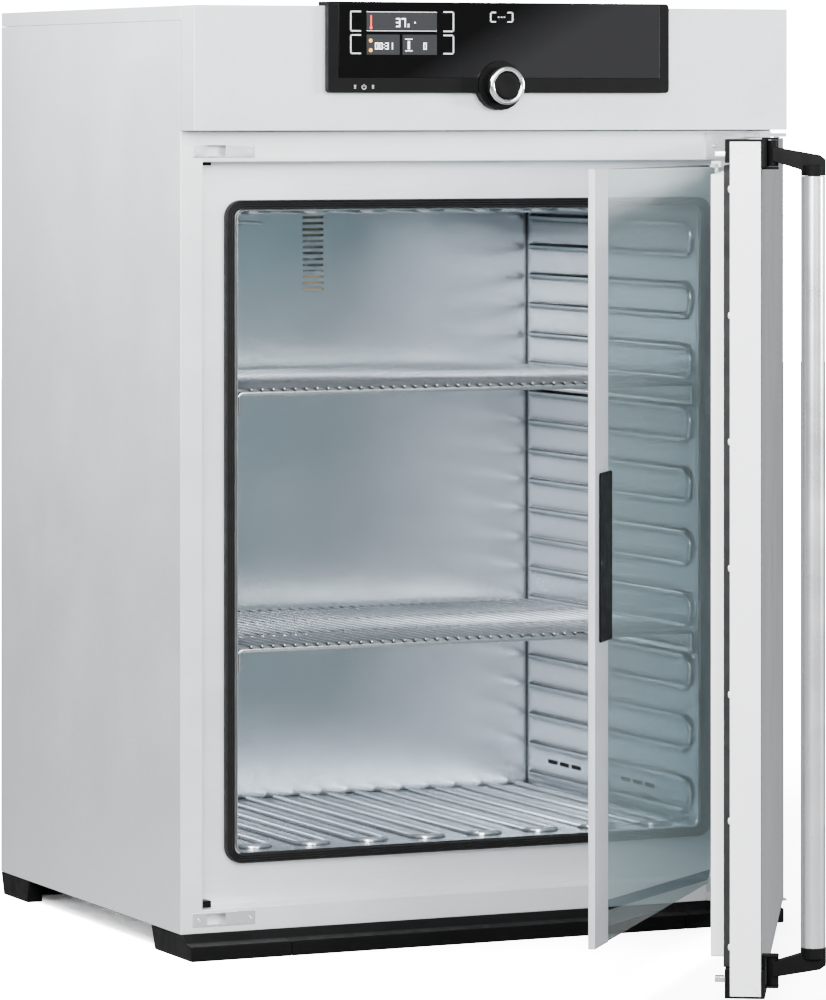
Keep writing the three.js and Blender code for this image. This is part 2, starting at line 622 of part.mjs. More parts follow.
function handle(door) {
  const axis = HANDLE.y;
  const near = axis - HANDLE.reach + HANDLE.tubeRadius;
  const far = axis - HANDLE.reach - HANDLE.tubeRadius - 0.6;
  // Side outline of the upper arm in (y, height above the tube's end).
  const outline = [
    [axis, 17], [near - 2, 6], [near, 0], [far, 0], [far, 19], [far + 7, 24], [axis, 33.5],
  ];
  const ends = {
    upper: { from: TUBE.top + GAP, sign: 1, hub: [982.5, 1012.5] },
    lower: { from: TUBE.bottom - GAP, sign: -1, hub: [41.6, 73] },
  };
  for (const [place, end] of Object.entries(ends)) {
    const side = polygon(outline.map(([y, rise]) => [y, end.from + end.sign * rise]));
    const arm = alongX(side, [HANDLE.x - 8, HANDLE.x + 8]);
    const hub = alongZ(disc(HANDLE.x, axis, HANDLE.hubRadius), end.hub, 6);
    const capHeights = [end.from, end.from + end.sign * 12].sort((low, high) => low - high);
    const cap = alongZ(disc(HANDLE.x, axis - HANDLE.reach, HANDLE.tubeRadius), capHeights, 8);
    piece(`handle_arm_${place}`, join([arm, hub, cap]), FINISH.blackPlastic, door);
  }
  const tube = ringShape(
    disc(HANDLE.x, axis - HANDLE.reach, HANDLE.tubeRadius),
    disc(HANDLE.x, axis - HANDLE.reach, HANDLE.tubeRadius - SHEET),
  );
  piece('handle_tube', alongZ(tube, [TUBE.bottom, TUBE.top], 10), FINISH.satinTube, door);
}

function glassDoor() {
  const door = hung(GLASS_HINGE);
  const middle = (GLASS.front + GLASS.back) / 2;
  const pane = [middle - GLASS.thickness / 2, middle + GLASS.thickness / 2];
  const height = [GLASS.bottom, GLASS.top];
  const hingeEdge = GLASS_HINGE.x - 8;
  piece('glass_pane', box([GLASS.free + 4, hingeEdge], pane, height), FINISH.glass, door);

  const wide = GLASS.free + 62.8;
  const slotEnd = GLASS.free + 3.5;
  const profile = polygon([
    [GLASS.free, GLASS.front], [wide, GLASS.front], [wide, pane[0] - GAP],
    [slotEnd, pane[0] - GAP], [slotEnd, pane[1] + GAP], [GLASS.free + 14, pane[1] + GAP],
    [GLASS.free + 14, GLASS.back], [GLASS.free, GLASS.back],
  ]);
  piece('glass_edge_profile', alongZ(profile, height), FINISH.sheetSteel, door);

  const grip = rectangle([GRIP.left, GRIP.right], [GRIP.bottom, GRIP.top], 4);
  piece('glass_grip', alongY(grip, [GLASS.front - 2.2, GLASS.front - GAP], 3),
    FINISH.blackPlastic, door);

  const clamps = {
    upper: { body: [973.6, 981.5], pin: [981, 986], pane: [970, GLASS.top + GAP] },
    lower: { body: [59.2, 71.8], pin: [54, 60], pane: [GLASS.bottom - GAP, 75] },
  };
  const pin = disc(GLASS_HINGE.x, GLASS_HINGE.y, GLASS_HINGE.pinRadius);
  for (const [place, clamp] of Object.entries(clamps)) {
    const body = box([262, GLASS_HINGE.x + 6], [middle - 6, middle + 6], clamp.body);
    const groove = box([250, hingeEdge + GAP], [pane[0] - GAP, pane[1] + GAP], clamp.pane);
    const holder = body.subtract(groove).add(alongZ(pin, clamp.pin, 5));
    piece(`glass_hinge_${place}`, holder, FINISH.whitePanel, door);
  }
}

function shelf(name, line) {
  const ribTop = RIB.lowest + line * RIB.pitch + RIB.width / 2;
  const low = ribTop + SHELF.wireRadius + 0.4;
  const high = low + SHELF.rise;
  const { x, front, back, rise } = SHELF;
  const half = [
    [0, back, high], [x - 12, back, high], [x - 12, back, low], [x, back, low],
    [x, front, low], [x - 0.29 * rise, front, high - 0.29 * rise], [x - rise, front, high],
    [0, front, high],
  ];
  const mirrored = half.map(([px, py, pz]) => [-px, py, pz]);
  const loop = wire(half, SHELF.wireRadius).add(wire(mirrored, SHELF.wireRadius));

  const wires = 41;
  const edge = (wires - 1) / 2 * SHELF.gridPitch + 1.5;
  const top = high + SHELF.wireRadius;
  const plate = box([-edge, edge], [front - 5, back + 6], [top - 0.6, top + 2.4]);
  const slots = [];
  for (let i = 0; i < wires - 1; i += 1) {
    const left = -edge + i * SHELF.gridPitch + 3;
    const across = [left, left + SHELF.gridPitch - 3];
    slots.push(box(across, [front + 4, back - 3], [top - 2, top + 4]));
  }
  piece(name, loop.add(plate.subtract(join(slots))), FINISH.satinTube);
}

casing();
frontFrame();
fascia();
controls();
chamber();
heatingAndInsulation();
rearEquipment();
base();
frameFittings();
mainDoor();
glassDoor();
for (const [place, line] of Object.entries(SHELF_LINES)) {
  shelf(`shelf_${place}`, line);
}

export default incubator;
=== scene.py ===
"""Looks of a laboratory incubator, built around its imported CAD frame. Metres, +X right, +Y back."""
import json
import math

import bmesh
import bpy
from mathutils import Matrix, Vector


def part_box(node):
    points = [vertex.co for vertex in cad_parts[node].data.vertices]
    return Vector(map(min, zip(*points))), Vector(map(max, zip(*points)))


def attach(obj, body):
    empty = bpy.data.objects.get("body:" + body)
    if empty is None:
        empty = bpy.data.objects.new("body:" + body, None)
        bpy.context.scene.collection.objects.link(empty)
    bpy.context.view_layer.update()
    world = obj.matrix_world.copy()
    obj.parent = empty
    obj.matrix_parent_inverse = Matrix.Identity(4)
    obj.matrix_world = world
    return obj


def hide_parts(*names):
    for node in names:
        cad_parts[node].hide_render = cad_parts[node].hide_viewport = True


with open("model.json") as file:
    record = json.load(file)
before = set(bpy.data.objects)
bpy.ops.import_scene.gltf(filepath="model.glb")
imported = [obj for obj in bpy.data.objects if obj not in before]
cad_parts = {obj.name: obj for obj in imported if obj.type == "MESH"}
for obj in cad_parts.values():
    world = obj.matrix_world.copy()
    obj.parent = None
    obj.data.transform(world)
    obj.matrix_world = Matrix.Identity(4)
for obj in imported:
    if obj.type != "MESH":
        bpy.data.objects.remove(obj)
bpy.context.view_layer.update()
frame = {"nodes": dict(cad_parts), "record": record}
NODES = frame["nodes"]
RECORD = frame["record"]
JOINTS = {joint["name"]: joint for joint in RECORD["behaviour"]["joints"]}
BODY_OF = {node: body for body, nodes in RECORD["behaviour"]["bodies"].items() for node in nodes}
SLOT_OF = {part["node"]: part["material_slot"] for part in RECORD["subparts"]}
MM = 0.001

# Camera: level, turned towards the cabinet's left front, far away with a long lens.
CAMERA_AT = (-3.0361, -6.4659, 1.0520)
CAMERA_TURN = -24.4425
CAMERA_LENS = 203.445
CAMERA_SHIFT = -0.39426


# Materials ---------------------------------------------------------------------------------

NOISE_RANGE = (0.3, 0.7)


def map_range(tree, value, source, target):
    """A value mapped from one (low, high) range to another."""
    node = tree.nodes.new("ShaderNodeMapRange")
    for key, number in zip(("From Min", "From Max", "To Min", "To Max"), (*source, *target)):
        node.inputs[key].default_value = number
    tree.links.new(value, node.inputs["Value"])
    return node.outputs["Result"]


class Nodes:
    """A material's node tree with short calls for the nodes used here."""

    def __init__(self, name):
        self.material = bpy.data.materials.new(name)
        self.material.use_nodes = True
        self.tree = self.material.node_tree
        self.shader = self.tree.nodes["Principled BSDF"]
        self.texture = self.tree.nodes.new("ShaderNodeTexCoord")
        self.place = self.texture.outputs["Object"]

    def set(self, **values):
        for key, value in values.items():
            self.shader.inputs[key.replace("_", " ")].default_value = value

    def link(self, out, into):
        self.tree.links.new(out, into)

    def stretched(self, scale):
        node = self.tree.nodes.new("ShaderNodeMapping")
        node.inputs["Scale"].default_value = scale
        self.link(self.place, node.inputs["Vector"])
        return node.outputs["Vector"]

    def noise(self, scale, stretch=(1, 1, 1), detail=3.0, roughness=0.5):
        node = self.tree.nodes.new("ShaderNodeTexNoise")
        node.inputs["Scale"].default_value = scale
        node.inputs["Detail"].default_value = detail
        node.inputs["Roughness"].default_value = roughness
        self.link(self.stretched(stretch), node.inputs["Vector"])
        return node.outputs["Fac"]

    def wave(self, scale, direction, distortion=0.0):
        node = self.tree.nodes.new("ShaderNodeTexWave")
        node.bands_direction = direction
        node.inputs["Scale"].default_value = scale
        node.inputs["Distortion"].default_value = distortion
        self.link(self.place, node.inputs["Vector"])
        return node.outputs["Fac"]

    def math(self, kind, first, second):
        node = self.tree.nodes.new("ShaderNodeMath")
        node.operation = kind
        for socket, value in zip(node.inputs, (first, second)):
            if isinstance(value, (int, float)):
                socket.default_value = value
            else:
                self.link(value, socket)
        return node.outputs[0]

    def spread(self, value, low, high, into):
        """Maps a noise value to a range and links it to a shader input."""
        self.link(map_range(self.tree, value, NOISE_RANGE, (low, high)), self.shader.inputs[into])

    def colours(self, value, dark, light, into="Base Color"):
        node = self.tree.nodes.new("ShaderNodeMix")
        node.data_type = "RGBA"
        node.inputs["A"].default_value = (*dark, 1)
        node.inputs["B"].default_value = (*light, 1)
        self.link(value, node.inputs["Factor"])
        self.link(node.outputs["Result"], self.shader.inputs[into])

    def painted_crease_shade(self, distance, darkest):
        """Painted shade: an ambient-occlusion node darkens the base colour in folds and inner
        corners.
        """
        shade = self.tree.nodes.new("ShaderNodeAmbientOcclusion")
        shade.samples = 8
        shade.inputs["Distance"].default_value = distance
        self.scale_colour(map_range(self.tree, shade.outputs["AO"], (0.55, 1.0), (darkest, 1.0)))

    def dark_tops(self, darkest):
        """Darkens what faces upwards; a painted shade, which stays the same in any light."""
        facing = self.tree.nodes.new("ShaderNodeSeparateXYZ")
        self.link(self.texture.outputs["Normal"], facing.inputs["Vector"])
        self.scale_colour(map_range(self.tree, facing.outputs["Z"], (0.10, 0.55), (1.0, darkest)))

    def scale_colour(self, factor):
        source = self.shader.inputs["Base Color"].links[0].from_socket
        scaled = self.tree.nodes.new("ShaderNodeVectorMath")
        scaled.operation = "SCALE"
        self.link(source, scaled.inputs[0])
        self.link(factor, scaled.inputs["Scale"])
        self.link(scaled.outputs["Vector"], self.shader.inputs["Base Color"])

    def bump(self, height, strength, distance):
        node = self.tree.nodes.new("ShaderNodeBump")
        node.inputs["Strength"].default_value = strength
        node.inputs["Distance"].default_value = distance
        self.link(height, node.inputs["Height"])
        self.link(node.outputs["Normal"], self.shader.inputs["Normal"])


def linen_steel(name, dark, light, metallic=0.55, roughness=(0.34, 0.46), weave=0.25):
    """Stainless sheet rolled with a fine woven texture."""
    m = Nodes(name)
    m.set(Metallic=metallic)
    across = m.noise(900, (1.0, 1.0, 0.12), 2.0)
    along = m.noise(900, (0.12, 0.12, 1.0), 2.0)
    cloth = m.math("ADD", m.math("MULTIPLY", across, 0.5), m.math("MULTIPLY", along, 0.5))
    m.colours(cloth, dark, light)
    m.spread(m.noise(9, detail=4.0), *roughness, "Roughness")
    m.bump(cloth, weave, 0.0004)
    return m.material


def brushed_steel(name, dark, light, stretch, roughness=(0.20, 0.32), metallic=0.9, crease_shade=None,
                  top=None):
    """Stainless sheet or bar with fine straight brush lines."""
    m = Nodes(name)
    m.set(Metallic=metallic)
    lines = m.noise(420, stretch, 4.0, 0.65)
    m.colours(lines, dark, light)
    m.spread(m.noise(14, detail=5.0), *roughness, "Roughness")
    m.bump(lines, 0.08, 0.0002)
    # Painted shade in folds and inner corners, from the ambient-occlusion node.
    if crease_shade:
        m.painted_crease_shade(*crease_shade)
    if top is not None:
        m.dark_tops(top)
    return m.material


def moulded(name, dark, light, roughness=(0.42, 0.55), grain=0.35, size=1800, gloss=0.25):
    """Moulded plastic or powder coat with a fine spark-eroded grain."""
    m = Nodes(name)
    m.set(Specular_IOR_Level=gloss)
    speck = m.noise(size, detail=2.0)
    m.colours(m.noise(35, detail=6.0), dark, light)
    m.spread(m.noise(60, detail=4.0), *roughness, "Roughness")
    m.bump(speck, grain, 0.0003)
    return m.material


def rubber(name, dark, light):
    return moulded(name, dark, light, (0.62, 0.8), grain=0.2, size=700, gloss=0.3)


def clear_glass():
    m = Nodes("clear_glass")
    m.set(IOR=1.5, Transmission_Weight=1.0, Base_Color=(0.36, 0.47, 0.49, 1))
    m.spread(m.noise(6, detail=3.0), 0.0, 0.006, "Roughness")
    return m.material


def panel_glass():
    """Black glass, a tinted cover over a dark print, with a painted diagonal sheen: a lighter band in
    the base colour stands for a reflection.
    """
    m = Nodes("panel_glass")
    m.set(Specular_IOR_Level=0.16)
    slope = m.tree.nodes.new("ShaderNodeSeparateXYZ")
    m.link(m.place, slope.inputs["Vector"])
    lean = m.math("SUBTRACT", m.math("MULTIPLY", slope.outputs["X"], 0.55), slope.outputs["Z"])
    # Painted reflection: a lighter diagonal band across the glass's base colour.
    painted_sheen = map_range(m.tree, lean, (-1.165, -1.085), (0.0, 1.0))
    m.colours(painted_sheen, (0.0006, 0.0006, 0.0007), (0.012, 0.012, 0.013))
    m.spread(m.noise(40, detail=3.0), 0.05, 0.10, "Roughness")
    return m.material


def glowing(name, colour, strength):
    m = Nodes(name)
    m.set(Roughness=0.4, Specular_IOR_Level=0.05, Emission_Strength=strength,
          Emission_Color=(*colour, 1))
    m.colours(m.noise(300), tuple(c * 0.85 for c in colour), colour)
    return m.material


def mineral_wool():
    m = Nodes("mineral_wool")
    fibres = m.noise(260, (1, 1, 0.3), 8.0, 0.7)
    m.colours(fibres, (0.42, 0.36, 0.24), (0.72, 0.66, 0.50))
    m.set(Roughness=0.95)
    m.bump(fibres, 0.9, 0.003)
    return m.material


def circuit_board():
    m = Nodes("circuit_board")
    tracks = m.wave(60, "X", 6.0)
    m.colours(tracks, (0.015, 0.09, 0.035), (0.03, 0.17, 0.07))
    m.spread(m.noise(80), 0.35, 0.5, "Roughness")
    m.bump(tracks, 0.3, 0.0003)
    return m.material


def chrome():
    m = Nodes("chrome")
    m.set(Metallic=1.0)
    m.colours(m.noise(200), (0.78, 0.79, 0.80), (0.88, 0.89, 0.90))
    m.spread(m.noise(90, detail=5.0), 0.07, 0.13, "Roughness")
    return m.material


# Painted shade in the chamber's folds: how far the ambient-occlusion node looks, and how dark it
# makes the base colour.
CHAMBER_CREASE_SHADE = (0.009, 0.12)
FINISH = {
    "steel_textured": linen_steel("linen_steel", (0.46, 0.48, 0.50), (0.68, 0.70, 0.72)),
    "steel_chamber": brushed_steel(
        "chamber_steel", (0.60, 0.65, 0.70), (0.72, 0.77, 0.82), (0.06, 1, 1), (0.20, 0.25), 0.85,
        crease_shade=CHAMBER_CREASE_SHADE),
    "steel_fittings": brushed_steel(
        "fitting_steel", (0.60, 0.61, 0.63), (0.74, 0.75, 0.77), (0.1, 1, 1), (0.24, 0.34)),
    # The wires get painted shade where they cross and meet.
    "steel_wire": brushed_steel(
        "wire_steel", (0.62, 0.63, 0.65), (0.76, 0.77, 0.79), (1, 0.1, 1), (0.16, 0.24),
        crease_shade=(0.010, 0.06)),
    "black_plastic": moulded(
        "black_plastic", (0.002, 0.002, 0.002), (0.004, 0.004, 0.004), gloss=0.05),
    "base_dark": moulded(
        "dark_coat", (0.002, 0.002, 0.002), (0.004, 0.004, 0.004), size=1100, gloss=0.05),
    "panel_glass": panel_glass(),
    "clear_glass": clear_glass(),
    "seal_black": rubber("seal_rubber", (0.003, 0.003, 0.0034), (0.006, 0.006, 0.0065)),
    "gasket_black": rubber("gasket_rubber", (0.004, 0.004, 0.0045), (0.008, 0.008, 0.009)),
    "tube_satin": brushed_steel(
        "satin_tube", (0.60, 0.61, 0.63), (0.76, 0.77, 0.79), (1, 1, 0.05), (0.24, 0.34)),
    "knob_chrome": chrome(),
    "white_plastic": moulded("white_plastic", (0.70, 0.71, 0.72), (0.80, 0.81, 0.82), grain=0.1),
    "insulation": mineral_wool(),
    "electronics": circuit_board(),
}
# Painted light: a paler, less metallic copy of the linen steel for the door shell and its inner
# panel, standing for the light that falls on them.
PAINTED_LIGHT_STEEL = linen_steel(
    "painted_light_linen_steel", (0.78, 0.79, 0.80), (0.90, 0.91, 0.92), 0.15, (0.40, 0.52), 0.18)
# Painted shade: a darker copy of the linen steel for the door's outward face, which stays darker than
# the casing in any light, also with the door shut.
PAINTED_SHADE_STEEL = linen_steel(
    "painted_shade_linen_steel", (0.18, 0.185, 0.195), (0.28, 0.285, 0.295), 0.5, (0.40, 0.50), 0.18)
# The side walls' steel, with painted shade in its folds and painted shade on the upward faces of its
# ribs.
WALL_STEEL = brushed_steel(
    "chamber_wall_steel", (0.56, 0.61, 0.66), (0.68, 0.73, 0.78), (0.06, 1, 1), (0.20, 0.25), 0.85,
    crease_shade=CHAMBER_CREASE_SHADE, top=0.03)
FRAME_STEEL = brushed_steel(
    "frame_steel", (0.72, 0.73, 0.75), (0.85, 0.86, 0.88), (0.05, 1, 1), (0.30, 0.40), 0.6)
SCREEN_TILE = glowing("screen_tile", (0.020, 0.021, 0.023), 0.3)
SCREEN_WHITE = glowing("screen_white", (0.85, 0.87, 0.88), 2.0)
SCREEN_RED = glowing("screen_red", (0.75, 0.06, 0.04), 0.8)
SCREEN_AMBER = glowing("screen_amber", (0.85, 0.42, 0.08), 0.8)
PRINT_WHITE = moulded("white_print", (0.55, 0.56, 0.57), (0.68, 0.69, 0.70), grain=0.05)
# Painted shade: a near-black finish for thin inlays that stand for the dark inside of the air slots.
SLOT_SHADE = moulded("painted_slot_shade", (0.002, 0.002, 0.002), (0.006, 0.006, 0.006), (0.8, 0.9))


# Meshes ------------------------------------------------------------------------------------

def add_piece(name, mesh, body, material, replaced=(), slot=None, smooth=True):
    """Puts a mesh in the scene as a piece that rides on a body."""
    piece = bpy.data.objects.new(name, mesh)
    bpy.context.scene.collection.objects.link(piece)
    mesh.materials.clear()
    mesh.materials.append(material)
    for face in mesh.polygons:
        face.use_smooth = smooth
        face.material_index = 0
    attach(piece, body)
    if replaced:
        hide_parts(*replaced)
        slot = slot or SLOT_OF[replaced[0]]
    return piece


def mesh_of(name, work):
    mesh = bpy.data.meshes.new(name)
    bmesh.ops.remove_doubles(work, verts=work.verts, dist=1e-6)
    bmesh.ops.recalc_face_normals(work, faces=work.faces)
    work.to_mesh(mesh)
    work.free()
    return mesh


def add_grid(work, rings, closed_rings=True, closed_path=False, caps=True):
    """Skins a list of rings of points; each ring holds the same number of points."""
    rows = [[work.verts.new(point) for point in ring] for ring in rings]
    count = len(rows[0])
    pairs = list(zip(rows, rows[1:])) + ([(rows[-1], rows[0])] if closed_path else [])
    for first, second in pairs:
        for i in range(count if closed_rings else count - 1):
            j = (i + 1) % count
            work.faces.new((first[i], first[j], second[j], second[i]))
    if caps and closed_rings and not closed_path:
        work.faces.new(list(reversed(rows[0])))
        work.faces.new(rows[-1])


def fillet(points, radius, steps=6):
    """Rounds the inner corners of a polyline with arcs."""
    points = [Vector(p) for p in points]
    result = [points[0]]
    for before, corner, after in zip(points, points[1:], points[2:]):
        to_before = (before - corner).normalized()
        to_after = (after - corner).normalized()
        angle = to_before.angle(to_after)
        if angle > math.radians(175):
            result.append(corner)
            continue
        reach = radius / math.tan(angle / 2)
        start = corner + to_before * reach
        centre = corner + (to_before + to_after).normalized() * radius / math.sin(angle / 2)
        sweep = math.pi - angle
        axis = to_before.cross(to_after)
        for step in range(steps + 1):
            turn = Matrix.Rotation(-sweep * step / steps, 3, axis)
            result.append(centre + turn @ (start - centre))
    result.append(points[-1])
    return result


def add_tube(work, points, radius, sides=16, dome=0.35):
    """A round bar along a path, with slightly domed ends."""
    points = [Vector(p) for p in points]
    tangents = []
    for i, point in enumerate(points):
        ahead = points[min(i + 1, len(points) - 1)] - point
        behind = point - points[max(i - 1, 0)]
        tangents.append((ahead.normalized() + behind.normalized()).normalized())
    normal = tangents[0].orthogonal().normalized()
    rings = []
    for point, tangent in zip(points, tangents):
        normal = (normal - tangent * normal.dot(tangent)).normalized()
        side = tangent.cross(normal)
        rings.append([
            point + radius * (math.cos(a) * normal + math.sin(a) * side)
            for a in (2 * math.pi * k / sides for k in range(sides))
        ])
    ends = []
    for ring, point, outward in ((rings[0], points[0], -tangents[0]),
                                 (rings[-1], points[-1], tangents[-1])):
        ends.append([point + (p - point) * 0.72 + outward * radius * dome for p in ring])
    add_grid(work, [ends[0], *rings, ends[1]])


def add_lathe(work, centre, axis, profile, segments=48):
    """Turns a profile of (radius, height) about an axis; it starts and ends on the axis."""
    centre, axis = Vector(centre), Vector(axis).normalized()
    side = axis.orthogonal().normalized()
    other = axis.cross(side)
    rings = []
    for radius, height in profile:
        rings.append([
            centre + axis * height + max(radius, 1e-5) * (math.cos(a) * side + math.sin(a) * other)
            for a in (2 * math.pi * k / segments for k in range(segments))
        ])
    add_grid(work, rings)


def add_box(work, low, high):
    low, high = Vector(low), Vector(high)
    size = high - low
    for vert in bmesh.ops.create_cube(work, size=1.0)["verts"]:
        vert.co = (low + high) / 2 + Vector(vert.co[i] * size[i] for i in range(3))


def bevel_all(work, width, segments=2, angle=30):
    edges = [e for e in work.edges if e.is_manifold and e.calc_face_angle(0) > math.radians(angle)]
    bmesh.ops.bevel(work, geom=edges, offset=width, segments=segments, profile=0.5,
                    affect="EDGES", clamp_overlap=True)


def sharpen(mesh, angle=32):
    """Keeps flat faces flat and round ones smooth."""
    mesh.set_sharp_from_angle(angle=math.radians(angle))


def even_normals(piece):
    """Lets the large flat faces set the shading, so only the rounded edges catch the light."""
    normals = piece.modifiers.new("even_normals", "WEIGHTED_NORMAL")
    normals.keep_sharp = True
    normals.weight = 100


# CAD nodes with softened edges ---------------------------------------------------------------

def soften(node, width, segments=2, material=None):
    """A copy of a CAD node with rounded edges, which stands for the node."""
    work = bmesh.new()
    work.from_mesh(NODES[node].data)
    bmesh.ops.remove_doubles(work, verts=work.verts, dist=2e-6)
    bmesh.ops.dissolve_limit(
        work, angle_limit=math.radians(1), verts=work.verts, edges=work.edges)
    bevel_all(work, width, segments)
    bmesh.ops.triangulate(work, faces=[f for f in work.faces if len(f.verts) > 4])
    mesh = mesh_of(node + ".body", work)
    finish = material or FINISH[SLOT_OF[node]]
    piece = add_piece(node + ".body", mesh, BODY_OF[node], finish, (node,))
    sharpen(mesh)
    even_normals(piece)
    return piece


# The chamber -------------------------------------------------------------------------------

BEAD_WIDTH = 10 * MM
BEAD_HEIGHT = 6 * MM
SUNK = 0.05 * MM
# Pressed loops of the side walls and of the floor and ceiling: how many, their pitch, and how far
# they run from the front to the back.
WALL_LOOPS = {"count": 10, "pitch": 2 * 40.1 * MM, "lowest": 137.5 * MM, "front": 51 * MM,
              "back": 528 * MM}
FLOOR_LOOPS = {"count": 8, "pitch": 80 * MM, "half_span": 20 * MM, "front": 62 * MM,
               "back": 532 * MM}
BEAD_PROFILE = [(math.cos(a), math.sin(a)) for a in (math.pi * k / 10 for k in range(11))]


def add_bead(work, path, across_of, place):
    """A pressed half-round bead along a path of (along, across) points in a sheet's plane."""
    rings = []
    count = len(path)
    steps = [math.dist(a, b) for a, b in zip(path, path[1:])]
    for i, (u, v) in enumerate(path):
        ahead = path[min(i + 1, count - 1)]
        behind = path[max(i - 1, 0)]
        du, dv = ahead[0] - behind[0], ahead[1] - behind[1]
        length = math.hypot(du, dv)
        nu, nv = -dv / length, du / length
        run_out = min(min(sum(steps[:i]), sum(steps[i:])) / across_of, 1.0)
        size = max(0.05, math.sqrt(1 - (1 - run_out) ** 2))
        rings.append([
            place(u + nu * c * across_of * size, v + nv * c * across_of * size, s * size)
            for c, s in BEAD_PROFILE
        ])
    add_grid(work, rings, closed_rings=False)


def bent_path(front, back, middle, half_span, steps=14):
    """Two straight legs joined by a half circle at the front, with run-out points at the back."""
    bend = front + half_span
    run_out = [back - reach * MM for reach in (0, 0.4, 1.2, 2.6, 5)]
    legs = [(along, middle - half_span) for along in run_out]
    arc = []
    for k in range(steps + 1):
        a = -math.pi / 2 - math.pi * k / steps
        arc.append((bend + half_span * math.cos(a), middle + half_span * math.sin(a)))
    return legs + arc + [(along, middle + half_span) for along in reversed(run_out)]


def chamber_side(node, side):
    low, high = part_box(node)
    face = (high.x - BEAD_HEIGHT) if side < 0 else (low.x + BEAD_HEIGHT)
    work = bmesh.new()
    outer = low.x if side < 0 else high.x
    add_box(work, (min(face, outer), low.y, low.z), (max(face, outer), high.y, high.z))

    def place(y, z, rise):
        return Vector((face - side * (rise * BEAD_HEIGHT - SUNK), y, z))

    loops = WALL_LOOPS
    for i in range(loops["count"]):
        middle = loops["lowest"] + (i + 0.25) * loops["pitch"]
        front = loops["front"] + BEAD_WIDTH / 2
        path = bent_path(front, loops["back"], middle, loops["pitch"] / 4)
        add_bead(work, path, BEAD_WIDTH / 2, place)
    mesh = mesh_of(node + ".ribbed", work)
    add_piece(node + ".ribbed", mesh, "cabinet", WALL_STEEL, (node,))
    sharpen(mesh, 50)


def chamber_flat(node, face_z, up):
    low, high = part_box(node)
    work = bmesh.new()
    outer = low.z if up > 0 else high.z
    add_box(work, (low.x, low.y, min(outer, face_z)), (high.x, high.y, max(outer, face_z)))

    def place(y, x, rise):
        return Vector((x, y, face_z + up * (rise * BEAD_HEIGHT - SUNK)))

    loops = FLOOR_LOOPS
    for i in range(loops["count"]):
        middle = (i - (loops["count"] - 1) / 2) * loops["pitch"]
        front = loops["front"] + BEAD_WIDTH / 2
        path = bent_path(front, loops["back"], middle, loops["half_span"])
        add_bead(work, path, BEAD_WIDTH / 2, place)
    mesh = mesh_of(node + ".ribbed", work)
    add_piece(node + ".ribbed", mesh, "cabinet", FINISH["steel_chamber"], (node,))
    sharpen(mesh, 50)


def ring_path(low_x, high_x, low_z, high_z, radius, steps=8):
    """Points of a rounded rectangle in (x, z) with outward normals."""
    points = []
    left, right = low_x + radius, high_x - radius
    bottom, top = low_z + radius, high_z - radius
    corners = ((right, bottom, -90), (right, top, 0), (left, top, 90), (left, bottom, 180))
    for cx, cz, start in corners:
        for k in range(steps + 1):
            a = math.radians(start + 90 * k / steps)
            points.append((cx + radius * math.cos(a), cz + radius * math.sin(a),
                           math.cos(a), math.sin(a)))
    return points


def add_ring(work, path, profile, y_of):
    """Sweeps a closed profile of (outward, forward) points round a ring path."""
    rings = []
    for x, z, nx, nz in path:
        rings.append([Vector((x + nx * o, y_of(f), z + nz * o)) for o, f in profile])
    add_grid(work, rings, closed_path=True)


def chamber_seal():
    low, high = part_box("chamber_seal")
    width = 11.5 * MM
    path = ring_path(low.x + width, high.x - width, low.z + width, high.z - width, 10 * MM)
    depth = high.y - low.y
    lips = 4
    profile = [(0, 0)]
    for k in range(lips * 6 + 1):
        t = k / (lips * 6)
        profile.append((t * width, depth * (0.80 + 0.2 * abs(math.sin(math.pi * lips * t)))))
    profile.append((width, 0))
    work = bmesh.new()
    add_ring(work, path, profile, lambda f: high.y - f)
    mesh = mesh_of("chamber_seal.ribbed", work)
    add_piece("chamber_seal.ribbed", mesh, "cabinet", FINISH["seal_black"], ("chamber_seal",))
    sharpen(mesh, 60)
    edge = bmesh.new()
    inner = [(0, 0), (0.0016, 0), (0.0016, 0.0042), (0, 0.0042)]
    inside = ring_path(-0.3208, 0.3208, 0.1208, 0.9207, 10 * MM)
    add_ring(edge, inside, inner, lambda f: 0.0398 - f)
    lip = mesh_of("chamber_lip", edge)
    add_piece("chamber_lip", lip, "cabinet", FINISH["steel_wire"], slot="steel_chamber")
    sharpen(lip)


def shelf(node):
    low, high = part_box(node)
    radius = 3.5 * MM
    base_z = low.z + radius
    top_z = base_z + 24.8 * MM
    side_x, front_y, back_y = 0.316, 0.045, 0.515
    work = bmesh.new()
    loop = [
        (-0.304, back_y, top_z), (-0.304, back_y, base_z), (-side_x, back_y, base_z),
        (-side_x, front_y, base_z), (-side_x, front_y, top_z), (side_x, front_y, top_z),
        (side_x, front_y, base_z), (side_x, back_y, base_z), (0.304, back_y, base_z),
        (0.304, back_y, top_z),
    ]
    add_tube(work, fillet(loop, 5.2 * MM), radius, 18)
    add_tube(work, [(-0.304, back_y, top_z), (0.304, back_y, top_z)], radius, 18)
    grid_z = top_z + radius + 1.4 * MM
    for i in range(41):
        x = (i - 20) * 15 * MM
        add_tube(work, [(x, front_y - 4.6 * MM, grid_z), (x, back_y + 5 * MM, grid_z)], 1.5 * MM, 10)
    for y in (0.20, 0.36):
        add_tube(work, [(-0.302, y, grid_z - 4 * MM), (0.302, y, grid_z - 4 * MM)], 2.5 * MM, 12)
    mesh = mesh_of(node + ".wires", work)
    add_piece(node + ".wires", mesh, BODY_OF[node], FINISH["steel_wire"], (node,))
    sharpen(mesh, 60)


